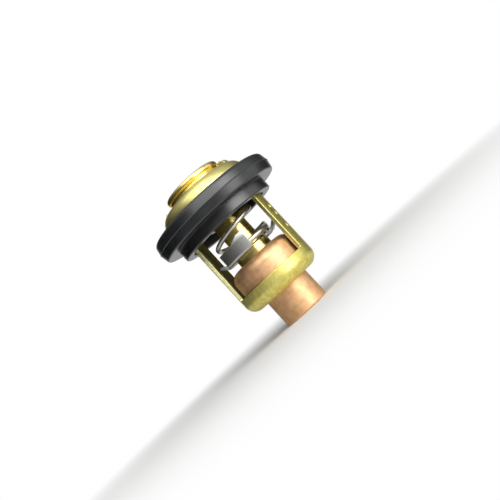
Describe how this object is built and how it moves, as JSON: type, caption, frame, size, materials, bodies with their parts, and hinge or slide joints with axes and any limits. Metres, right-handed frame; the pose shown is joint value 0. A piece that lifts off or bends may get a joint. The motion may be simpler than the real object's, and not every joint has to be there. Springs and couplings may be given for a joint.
{
  "type": "engine thermostat",
  "caption": "Wax-element coolant valve: copper element in a two-legged brass cage, spring, brass seat dome with lifting disc, and a moulded rubber seal ring.",
  "frame": {"origin": "centre of the flat end of the copper bulb", "axes": "+Z along the valve axis, from the bulb towards the valve disc; the cage legs stand at +X and -X, so the open windows face +Y and -Y"},
  "size_m": [0.036, 0.036, 0.0431],
  "materials": {
    "cage_brass": "satin drawn brass with an olive cast",
    "crown_brass": "bright drawn brass",
    "valve_brass": "bright turned brass, golden orange",
    "stem_brass": "bright turned brass",
    "guide_brass": "turned brass",
    "copper": "brushed bare copper",
    "seal_rubber": "moulded, semi matt",
    "membrane_rubber": "matt",
    "spring_steel": "bright spring wire",
    "retainer_steel": "pressed stainless sheet",
    "piston_steel": "ground and polished",
    "wax": "wax with copper powder",
    "fluid": "semi-fluid grease",
    "wafer_plastic": "hard fluoropolymer"
  },
  "bodies": {
    "housing": {"cage": "cage_brass", "crown": "crown_brass", "seal_ring": "seal_rubber", "element_case": "copper", "wax_charge": "wax", "membrane": "membrane_rubber", "element_guide": "guide_brass", "fluid_fill": "fluid", "piston_plug": "membrane_rubber", "plug_wafer": "wafer_plastic", "return_spring": "spring_steel"},
    "valve": {"valve_disc": "valve_brass", "valve_stem": "stem_brass", "spring_retainer": "retainer_steel", "piston": "piston_steel"}
  },
  "joints": [
    {"name": "valve_lift", "type": "slide", "parent": "housing", "child": "valve", "axis": [0, 0, 1], "range_m": [0, 0.0045], "stiffness_N_per_m": 2100, "springref_m": -0.008, "deforming": ["return_spring"]}
  ]
}
